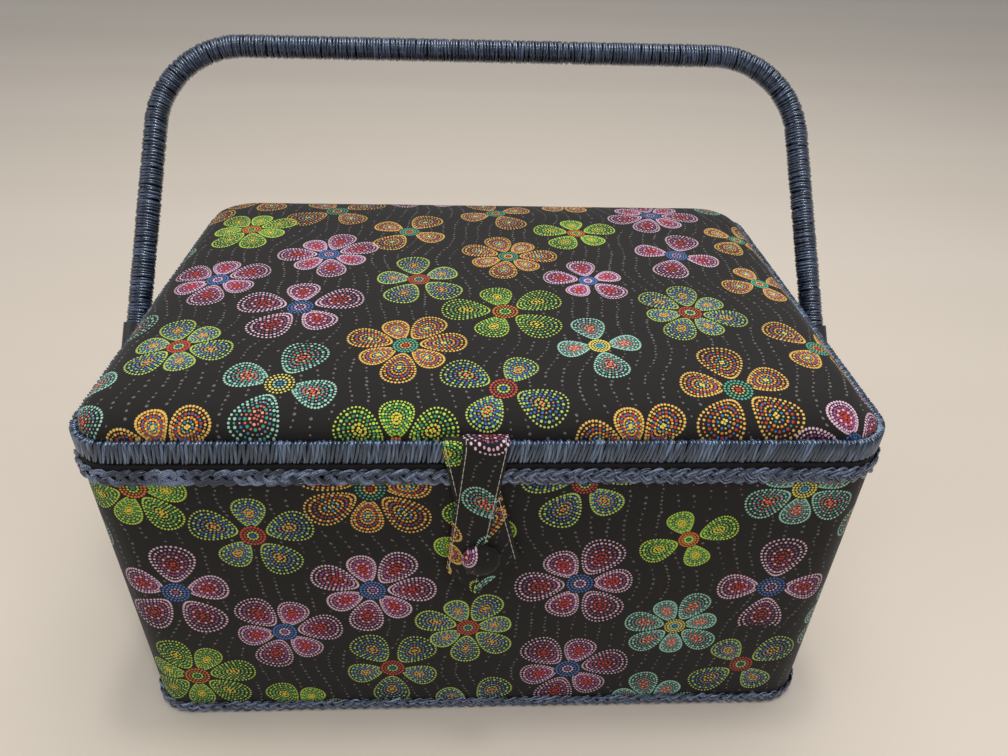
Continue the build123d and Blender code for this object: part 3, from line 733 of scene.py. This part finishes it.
handle_line = rounded(
    [
        (side * (arm_spread - arm_lean * reach), 0, reach)
        for side, reach in ((-1, wind_start), (-1, handle_reach), (1, handle_reach), (1, wind_start))
    ],
    bend_radius,
    24,
)
handle_shades = ((0.002, 0.003, 0.009), (0.009, 0.013, 0.030), (0.10, 0.14, 0.24))
handle_yarn = paper_yarn("handle_paper_yarn", handle_shades, 0.22, 0.5, 0.15)
handle_winding = wrapping(
    "handle_winding",
    [(handle_line, False)],
    pitch=1.5 * mm,
    deep=6.0 * mm,
    high=6.0 * mm,
    square=2,
    strand=(0.88 * mm, 0.62 * mm),
    lean=0.25 * mm,
    sway=0.1,
    upright=False,
    material=handle_yarn,
    turned_by=((0, 0, pivot_height), (-handle_lean, 0, 0)),
)
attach(handle_winding, "handle")
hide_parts("handle_wrap")


# Closure strap. One strip of the printed cotton, folded double and edge-stitched in cream thread,
# comes over the rim as two crossing legs that meet in a mitred point, with a buttonhole in it.
strap_layer, strap_cloth_thickness = 1.1 * mm, 0.95 * mm
strap_back_face = 115.4 * mm
strap_tip = (-4.0 * mm, 86.5 * mm)
front_corner, rear_corner = (-16.5 * mm, 101.5 * mm), (14.0 * mm, 107.0 * mm)
half_strap = strap_width / 2
legs = {
    "rear": ((rear_leg_x - half_strap, rear_leg_x + half_strap), (strap_tip, rear_corner)),
    "front": ((front_leg_x - half_strap, front_leg_x + half_strap), (front_corner, strap_tip)),
}


def strap_spot(leg, across_share, length_share, off=0.0):
    """A spot on a leg's cloth: negative lengths go back over the rim; off is outward from its middle."""
    (left, right), (low_left, low_right) = legs[leg]
    layer = strap_back_face + strap_layer * (0.5 if leg == "rear" else 1.5)
    top_x = left + (right - left) * across_share
    if length_share < 0:
        bend = min(-length_share / 0.04, 1)
        angle = bend * pi / 2
        turn_radius = 0.9 * mm + layer - strap_back_face
        y = -layer + turn_radius * (1 - cos(angle)) - off * cos(angle)
        z = rim_top - 0.4 * mm + turn_radius * sin(angle) - 0.5 * mm + off * sin(angle)
        y += max(-length_share - 0.04, 0) * 60 * mm
        return (top_x, y, z)
    low_x = low_left[0] + (low_right[0] - low_left[0]) * across_share
    low_z = low_left[1] + (low_right[1] - low_left[1]) * across_share
    x = top_x + (low_x - top_x) * length_share
    z = rim_top - 0.4 * mm - 0.5 * mm + (low_z - rim_top + 0.9 * mm) * length_share
    bow = sin(length_share * pi * 2.2 + across_share * 1.3) * 0.12 * mm - sin(across_share * pi) * 0.1 * mm
    return (x, -layer - off + bow, z)


def cloth_layer(name, spot, rows, thickness, cloth_place, material):
    """One thickness of cloth from spot(across, along, off), with its edges rounded."""
    steps = [(0.0, 0.0), (0.03, 0.75), *((step / 10, 1.0) for step in range(1, 10)), (0.97, 0.75), (1.0, 0.0)]
    loops, places = [], []
    for along in rows:
        ring = [spot(across, along, off * thickness / 2) for across, off in steps]
        ring += [spot(across, along, -off * thickness / 2) for across, off in steps[-2:0:-1]]
        loops.append(ring)
        flat = [cloth_place(along, Vector(place)) for place in ring]
        places.append(flat + flat[:1])
    piece = skin(name, loops, places, material, ends=True)
    turn_outward(piece)
    return piece


strap_rows = [-0.1, -0.07, -0.05, -0.04, -0.03, -0.02, -0.01, 0] + [step / 44 for step in range(1, 45)]
strap_pieces = [
    cloth_layer(
        "strap_" + leg,
        lambda across, along, off: strap_spot(leg, across, along, off),
        strap_rows,
        strap_cloth_thickness,
        lambda along, spot: (start[0] + spot.x, start[1] - along * 0.08 + spot.x * 0.12),
        cotton,
    )
    for leg, start in (("rear", (0.031, 0.472)), ("front", (0.118, 0.296)))
]
strap_cloth = strap_pieces[1]
with bpy.context.temp_override(
    active_object=strap_cloth, selected_editable_objects=strap_pieces, selected_objects=strap_pieces
):
    bpy.ops.object.join()
strap_cloth.name = "strap_cloth"


def shape_from(name, spots, faces, material):
    """A closed solid from corner points and faces, with its faces turned outward."""
    mesh = bpy.data.meshes.new(name)
    build = bmesh.new()
    corners = [build.verts.new(spot) for spot in spots]
    for face in faces:
        build.faces.new([corners[i] for i in face])
    bmesh.ops.remove_doubles(build, verts=build.verts, dist=0.001 * mm)
    bmesh.ops.recalc_face_normals(build, faces=build.faces)
    build.to_mesh(mesh)
    build.free()
    mesh.materials.append(material)
    return add_object(name, mesh)


button_x, button_height, buttonhole_length, buttonhole_width = -2 * mm, 109.5 * mm, 16.5 * mm, 3.7 * mm
ring = [
    (
        button_x + cos(step * pi / 12) * buttonhole_width / 2,
        button_height - 0.5 * mm
        + sin(step * pi / 12) * buttonhole_width / 2
        + copysign(buttonhole_length - buttonhole_width, sin(step * pi / 12)) / 2,
    )
    for step in range(24)
]
cutter = shape_from(
    "buttonhole",
    [(x, y, z) for y in (-0.13, -0.11) for x, z in ring],
    [range(24), range(24, 48)] + [(i, (i + 1) % 24, (i + 1) % 24 + 24, i + 24) for i in range(24)],
    cotton,
)
hole = strap_cloth.modifiers.new("buttonhole", "BOOLEAN")
hole.operation, hole.object, hole.solver, hole.use_self = "DIFFERENCE", cutter, "EXACT", True
finished(strap_cloth)
bpy.data.objects.remove(cutter)
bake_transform(strap_cloth)
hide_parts("closure_strap", "strap_tails")

stitches = Recipe("strap_stitches", Pitch=3.1 * mm, Length=3.25 * mm, Thread=0.48 * mm)
bead = stitches.add("GeometryNodeMeshGrid", {"Vertices X": 7, "Vertices Y": 5})
share, side, _ = stitches.parts(bead.outputs["UV Map"])
bulge = (share * pi).math("SINE").math("POWER", 0.3) * stitches.size("Thread") * 0.5
bead = stitches.place(
    bead.outputs["Mesh"],
    (share - 0.5) * stitches.size("Length"),
    (side * (2 * pi)).math("COSINE") * bulge,
    (side * (2 * pi)).math("SINE") * bulge * 0.7,
)
curve = stitches.add("GeometryNodeMeshToCurve", {0: stitches.line}).outputs[0]
points = {"Curve": curve, "Length": stitches.size("Pitch")}
curve = stitches.add("GeometryNodeResampleCurve", points, mode="LENGTH")
heading = stitches.add("GeometryNodeInputTangent").outputs[0]
way = stitches.add("FunctionNodeAlignRotationToVector", {"Vector": heading}, axis="X")
thread_loops = stitches.add(
    "GeometryNodeInstanceOnPoints",
    {"Points": curve.outputs[0], "Instance": bead, "Rotation": way.outputs[0]},
).outputs[0]
tree, shader, cream_thread = finish_of("cream_thread", Roughness=0.6, Sheen_Weight=0.2)
twist = add_node(tree, "ShaderNodeTexWave", {"Scale": 900.0, "Distortion": 0.4}, bands_direction="DIAGONAL")
place = add_node(tree, "ShaderNodeTexCoord").outputs["Object"]
tree.links.new(place, twist.inputs["Vector"])
twist = Amount(tree, twist.outputs["Fac"])
tint(tree, shader, twist, [(0.2, (0.58, 0.54, 0.46)), (0.8, (0.82, 0.78, 0.69))])
raise_surface(tree, shader, twist, 0.1 * mm, 0.6)
# The seams stop at the buttonhole, and lie closer to the cloth where the button covers them.
buttonhole_drop, raised_thread, pressed_thread, under_button = 0.5 * mm, 0.62 * mm, 0.45 * mm, 10 * mm
seams = []
for leg in legs:
    for inset in (0.075, 0.925):
        shares = [-0.03, -0.015] + [step / 40 for step in range(39)]
        seam = []
        for share in shares:
            x, _, z = strap_spot(leg, inset, share)
            behind_button = share > 0 and hypot(x - button_x, z - button_height) < under_button
            in_hole = (
                share > 0
                and abs(x - button_x) < buttonhole_width / 2 + 0.6 * mm
                and abs(z - button_height + buttonhole_drop) < buttonhole_length / 2 + 1 * mm
            )
            if in_hole:
                seams.append((seam, False))
                seam = []
            else:
                off = pressed_thread if behind_button else raised_thread
                seam.append(strap_spot(leg, inset, share, off))
        seams.append((seam, False))
seams = [(seam, closed) for seam, closed in seams if len(seam) > 1]
strap_stitches = stitches.run("strap_stitches", seams, thread_loops, cream_thread)
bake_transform(strap_stitches)


# Button. A domed shell covered with the printed cotton, held by a short shank through the wall; the
# strap's hole goes over it.
button_radius, button_back, button_depth = 8 * mm, 117.95 * mm, 5.3 * mm
button_section = [(0.3, 0.0), (0.82, 0.0), (0.96, 0.05), (1.0, 0.16), (0.985, 0.32), (0.93, 0.48)]
button_section += [(0.84, 0.64), (0.72, 0.78), (0.57, 0.88), (0.4, 0.95), (0.22, 0.99), (0.06, 1.0)]
button_rows, button_places = [], []
for out, front in button_section:
    row = []
    for step in range(48):
        angle = step * pi / 24
        tuck = 1 + 0.012 * sin(angle * 15) * (1 - front) ** 2
        row.append((
            button_x + button_radius * out * tuck * sin(angle),
            -button_back - button_depth * front,
            button_height + button_radius * out * tuck * cos(angle),
        ))
    button_rows.append(row)
    spread = 2 - out if front < 0.2 else out
    turns = [i * pi / 24 for i in range(49)]
    button_places.append([(0.244 + 0.009 * spread * sin(i), 0.193 + 0.009 * spread * cos(i)) for i in turns])
button_cloth = skin("button_cloth", button_rows, button_places, cotton, ends=True)
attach(button_cloth, "box")
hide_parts("closure_button")


# Handle fittings. Charcoal plastic sockets take the ends of the wound rod and turn on shouldered
# pivots, in brackets that are screwed to the sides of the box.
def dress(material, *names):
    """Give CAD nodes, which keep their own shape, this material."""
    for name in names:
        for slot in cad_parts[name].material_slots:
            slot.material = material


tree, shader, charcoal_plastic = finish_of("charcoal_plastic", Roughness=0.42)
grain = cloudy(tree, 900.0, 3.0)
mottle = cloudy(tree, 60.0, 3.0)
plastic_shades = [(0.3, (0.014, 0.015, 0.020)), (0.75, (0.026, 0.028, 0.036))]
tint(tree, shader, mottle, plastic_shades)
tree.links.new((mottle * 0.2 + 0.33).socket, shader.inputs["Roughness"])
raise_surface(tree, shader, grain, 0.15 * mm, 0.35)
fittings = [f"handle_{part}_{side}" for part in ("socket", "bracket") for side in ("left", "right")]
dress(charcoal_plastic, *fittings, "button_shank", "handle_core")

tree, shader, blackened_steel = finish_of("blackened_steel", Metallic=1.0, Roughness=0.35)
wear = cloudy(tree, 350.0, 4.0)
tint(tree, shader, wear, [(0.35, (0.035, 0.035, 0.042)), (0.7, (0.16, 0.16, 0.17))])
tree.links.new((wear * 0.3 + 0.2).socket, shader.inputs["Roughness"])
raise_surface(tree, shader, wear, 0.08 * mm, 0.3)
dress(blackened_steel, "handle_pivot_left", "handle_pivot_right")


# Hinges and screws. Two rolled butt hinges of plated steel on the back, their pins, and the small
# countersunk screws that hold them and the brackets.
tree, shader, plated_steel = finish_of("plated_steel", Metallic=1.0, Roughness=0.3)
rub = cloudy(tree, 500.0, 3.0, (0.2, 1, 1))
tint(tree, shader, rub, [(0.3, (0.44, 0.43, 0.42)), (0.7, (0.66, 0.65, 0.63))])
tree.links.new((rub * 0.25 + 0.18).socket, shader.inputs["Roughness"])
raise_surface(tree, shader, rub, 0.05 * mm, 0.25)
leaves = [f"hinge_{part}_leaf_{side}" for part in ("body", "lid") for side in ("left", "right")]
dress(plated_steel, *leaves, "hinge_pins", "hinge_screws_body", "hinge_screws_lid", "bracket_screws")


# Boards and hoop, out of sight under the cloth: pressed fibreboard for the walls, base and lid, and a
# split cane hoop inside the lid's wrapping.
tree, shader, fibreboard = finish_of("fibreboard", Roughness=0.85)
fibres = cloudy(tree, 260.0, 5.0, (1, 1, 0.35))
tint(tree, shader, fibres, [(0.3, (0.34, 0.24, 0.15)), (0.7, (0.55, 0.42, 0.28))])
raise_surface(tree, shader, fibres, 0.3 * mm, 0.5)
dress(fibreboard, "body_walls", "base_board", "lid_board")
# The hoop is coloured much darker than cane: painted shade where it shows in the gaps between the wrapped
# strands.
tree, shader, split_cane = finish_of("split_cane", Roughness=0.5)
streaks = cloudy(tree, 700.0, 3.0, (0.06, 0.06, 1))
tint(tree, shader, streaks, [(0.3, (0.028, 0.021, 0.016)), (0.7, (0.060, 0.045, 0.034))])
raise_surface(tree, shader, streaks, 0.2 * mm, 0.5)
dress(split_cane, "lid_hoop")


# Cloth under the base. The same cotton glued to the base board, so that the box slides easily.
base_rows = [(5.0, 0.0), (1.5, 0.0), (1.2, 0.15), (1.2, 0.65), (1.5, 0.8), (5.0, 0.8)]
base_rows = [stand(outline(inset * mm, corner - 1.2 * mm), height * mm) for inset, height in base_rows]
base_places = [np.vstack([row[:, :2], row[:1, :2]]) + np.array((0.83, 0.61)) for row in base_rows]
base_cloth = skin("base_cloth", base_rows, base_places, cotton, ends=True)
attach(base_cloth, "box")
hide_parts("base_cover")


# Lining. Navy satin glued round the inside of the walls, drawn over the two ledges that carry the
# tray, and over thin wadding on the floor and inside the lid.
def satin(name, dark, light, slack_depth=0.4):
    """Smooth satin: fine close threads, a soft sheen, and the cloth's slight unevenness."""
    tree, shader, material = finish_of(name, Roughness=0.42, Sheen_Weight=0.25, Sheen_Roughness=0.35)
    place = add_node(tree, "ShaderNodeTexCoord").outputs["Object"]
    thread = add_node(tree, "ShaderNodeTexWave", {"Vector": place, "Scale": 520.0, "Distortion": 1.2})
    thread = Amount(tree, thread.outputs["Fac"])
    slack = cloudy(tree, 40.0)
    shade = cloudy(tree, 160.0, 3.0) * 0.7 + thread * 0.3
    tint(tree, shader, shade, [(0.3, dark), (0.75, light)])
    raise_surface(tree, shader, thread * 0.06 + slack * slack_depth, 1.0 * mm, 0.5)
    return material


navy_satin = satin("navy_satin", (0.012, 0.016, 0.040), (0.026, 0.034, 0.075))
dress(navy_satin, "tray_ledge_left", "tray_ledge_right")
lining_rows = [(5.15, 5.9), (5.15, 144.2), (5.55, 144.3), (5.85, 144.0)]
lining_rows += [(5.9, height) for height in range(138, 8, -6)] + [(5.85, 6.1)]
spots = []
for inset, height in lining_rows:
    row = stand(outline(inset * mm, side_steps=(24, 36, 48, 36, 24)), height * mm)
    if inset > 5.6:
        ease = [noise.noise(Vector((x * 22, y * 22, z * 22))) * 0.25 * mm for x, y, z in row]
        row[:, :2] *= 1 + np.array(ease)[:, None] / np.linalg.norm(row[:, :2], axis=1)[:, None]
    spots.append(row)
spots = np.array(spots)[::-1]
run = lengths(np.vstack([spots[0], spots[0][:1]]))
places = np.stack(np.meshgrid(run, lengths(np.vstack([spots[:, 0], spots[:1, 0]]))), axis=-1)
wall_lining = skin("wall_lining_cloth", spots, places, navy_satin, closed=(True, True))
turn_outward(wall_lining)
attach(wall_lining, "box")
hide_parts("wall_lining")


def pad(name, section, inner, puff, material):
    """A thin pad from its edge's section, listed from below; inner tells which end its face is at."""
    steps = (18, 26, 36, 26, 18)
    rows = [
        stand(outline(inset * mm, corner - 6 * mm, side_steps=steps), height * mm)
        for inset, height in section
    ]
    edge = rows[0] if inner == "below" else rows[-1]
    for share in (0.92, 0.8, 0.65, 0.5, 0.35, 0.2, 0.08):
        row = edge * np.array((share, share, 1.0))
        row[:, 2] += [noise.noise(Vector((x * 16, y * 16, 2))) * puff for x, y, z in row]
        rows = [row] + rows if inner == "below" else rows + [row]
    places = [np.vstack([row[:, :2], row[:1, :2]]) for row in rows]
    return skin(name, rows, places, material, ends=True)


floor_section = [(8, 5.85), (6.3, 5.85), (6.05, 6.5), (6.05, 8.4), (6.3, 9.5), (7.2, 10.35)]
floor_section += [(9.0, 10.75), (13, 10.8)]
floor_cushion = pad("floor_cushion", floor_section, "above", 0.5 * mm, navy_satin)
lid_section = [(9, 161.5), (5.2, 161.55), (4.0, 161.8), (3.45, 162.4), (3.45, 163.4)]
lid_section += [(3.7, 163.7), (9, 163.7)]
lid_cushion = pad("lid_cushion", lid_section, "below", 0.12 * mm, navy_satin)
for piece, body, node in ((floor_cushion, "box", "floor_pad"), (lid_cushion, "lid", "lid_lining")):
    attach(piece, body)
    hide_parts(node)


# Pincushion inside the lid. Slate-blue satin over stuffing, drawn in at two tufts and piped round
# the edge where it is sewn to the lining.
def rounded_ring(centre, width, depth, height, count=120):
    """A rounded rectangle of points, anticlockwise."""
    ring = []
    for step in range(count):
        x, y = cos(step * 2 * pi / count), sin(step * 2 * pi / count)
        ring.append((
            centre[0] + copysign(abs(x) ** 0.42, x) * width / 2,
            centre[1] + copysign(abs(y) ** 0.42, y) * depth / 2,
            height,
        ))
    return ring


lining_face = 161.5 * mm
cushion_centre, cushion_width, cushion_depth, cushion_drop = (88 * mm, 0), 104 * mm, 74 * mm, 10 * mm
cushion_section = [(48, 0.0), (24, 0.01), (13, 0.06), (7, 0.15), (3, 0.32), (1.2, 0.5)]
cushion_section += [(1.0, 0.68), (2.0, 0.85), (3.0, 0.97), (4.5, 0.99)]
rows = [
    rounded_ring(
        cushion_centre,
        cushion_width - inset * 2 * mm,
        cushion_depth - inset * 1.45 * mm,
        lining_face - cushion_drop * (1 - share) - 0.1 * mm,
    )
    for inset, share in cushion_section
]
slate_satin = satin("slate_satin", (0.030, 0.042, 0.085), (0.062, 0.082, 0.145), 0.7)
places = [[spot[:2] for spot in row + row[:1]] for row in rows]
pincushion = skin("pincushion_body", rows, places, slate_satin, ends=True)
tufts = [Vector((cushion_centre[0] + side * 23 * mm, 0)) for side in (-1, 1)]


def tuft_distance(spot):
    return min((Vector(spot[:2]) - tuft).length for tuft in tufts)


even = pincushion.modifiers.new("even_mesh", "REMESH")
even.mode, even.voxel_size = "VOXEL", 2.6 * mm
finished(pincushion)
for vertex in pincushion.data.vertices:
    if vertex.co.z < lining_face - 4 * mm:
        vertex.co.z += 3.4 * mm * 2.72 ** -((tuft_distance(vertex.co) / (4.5 * mm)) ** 2)
start = np.array([vertex.co for vertex in pincushion.data.vertices])
held = pincushion.vertex_groups.new(name="held")
sewn = [
    i
    for i, spot in enumerate(start)
    if spot[2] > lining_face - 1.6 * mm or tuft_distance(spot) < 2.6 * mm
]
held.add(sewn, 1.0, "REPLACE")
cloth = pincushion.modifiers.new("stuffing", "CLOTH")
cloth.settings.use_pressure = True
cloth.settings.uniform_pressure_force = 4.0
cloth.settings.vertex_group_mass = "held"
cloth.settings.effector_weights.gravity = 0.0
for step in range(1, 21):
    bpy.context.scene.frame_set(step)
finished(pincushion)
bpy.context.scene.frame_set(1)
pushed = np.array([vertex.co for vertex in pincushion.data.vertices]) - start
far = np.linalg.norm(pushed, axis=1)[:, None]
settled = start + pushed * np.minimum(1, 1.4 * mm / np.maximum(far, 0.001 * mm))
settled[:, 2] = np.clip(settled[:, 2], lining_face - cushion_drop - 1.2 * mm, lining_face - 0.05 * mm)
pincushion.data.vertices.foreach_set("co", settled.ravel())
smooth = pincushion.modifiers.new("smooth", "SUBSURF")
smooth.levels = smooth.render_levels = 1
finished(pincushion)
pincushion.data.shade_smooth()
if not pincushion.data.materials:
    pincushion.data.materials.append(slate_satin)
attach(pincushion, "lid")
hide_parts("pincushion")

cord_rows = [
    rounded_ring(
        cushion_centre,
        cushion_width - (1.2 - 1.9 * cos(step * pi / 4)) * mm,
        cushion_depth - (1.2 - 1.9 * cos(step * pi / 4)) * mm,
        lining_face - (1.0 - 0.95 * sin(step * pi / 4)) * mm,
        200,
    )
    for step in range(8)
]
places = [[spot[:2] for spot in row + row[:1]] for row in cord_rows]
piping = skin("pincushion_piping", cord_rows, places + places[:1], navy_satin, closed=(True, True))
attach(piping, "lid")


# Lid pocket. A flat satin pocket sewn to the lining round three sides, gathered at its mouth by a
# ruched elastic.
pocket_left, pocket_front, pocket_width, pocket_depth = -140 * mm, -52 * mm, 156 * mm, 104 * mm


def pocket_spot(across, along, off):
    """A spot on the pocket: across runs from its mouth to the back, along from left to right."""
    loose = (1 - across) ** 1.4 * min(along * 14, (1 - along) * 14, 1)
    fold = sin(along * 2 * pi * 17 + 0.8 * sin(across * 5 + along * 9)) * 0.5 + 0.5
    corner_pull = 6 * mm * max(0, abs(along - 0.5) * 2 - 0.94) / 0.06 * max(0, across - 0.94) / 0.06
    x = pocket_left + pocket_width * along + copysign(corner_pull, 0.5 - along) * 0.4
    y = pocket_front + pocket_depth * across - corner_pull * 0.4
    return (x, y, lining_face - 0.38 * mm - 0.9 * mm * loose * fold - off)


pocket = cloth_layer(
    "pocket",
    pocket_spot,
    [step / 220 for step in range(221)],
    0.5 * mm,
    lambda along, spot: (spot.x, spot.y),
    navy_satin,
)
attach(pocket, "lid")
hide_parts("lid_pocket")

rows, places = [], []
for step in range(16):
    angle = step * pi / 8
    row = []
    for along in np.linspace(0, 1, 420):
        ruche = 0.5 + 0.5 * sin(along * 2 * pi * 46 + 1.1 * sin(angle) + 2 * sin(along * 31))
        reach = (1 - 0.26 * ruche) * min(1, (along * 60 + 0.25), ((1 - along) * 60 + 0.25))
        y = copysign(abs(cos(angle)) ** 0.6, cos(angle)) * 4.45 * mm * reach
        z = copysign(abs(sin(angle)) ** 0.6, sin(angle)) * 1.25 * mm * (reach * 0.9 + 0.1)
        row.append((pocket_left + pocket_width * along, -56.6 * mm + y, lining_face - 1.3 * mm - z))
    rows.append(row)
    places.append([(x, y) for x, y, z in row])
elastic = skin("pocket_mouth", rows, places + places[:1], navy_satin, closed=(True, False))
turn_outward(elastic, fill_holes=True)
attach(elastic, "lid")
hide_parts("pocket_elastic")


# Tray. Injection-moulded in pale grey plastic, one shell with its compartments; it rests loose on
# the ledges and lifts out.
tree, shader, tray_plastic = finish_of("tray_plastic", Roughness=0.36)
flow = cloudy(tree, 18.0, 3.0)
tint(tree, shader, flow, [(0.3, (0.62, 0.64, 0.66)), (0.7, (0.72, 0.74, 0.76))])
tree.links.new((flow * 0.2 + 0.26).socket, shader.inputs["Roughness"])
raise_surface(tree, shader, cloudy(tree, 1200.0, 2.0), 0.05 * mm, 0.4)
dress(tray_plastic, "compartment_tray")


# Both boxes, the CAD's and the dressed object's, are kept.
bpy.context.scene.view_settings.view_transform = "Standard"
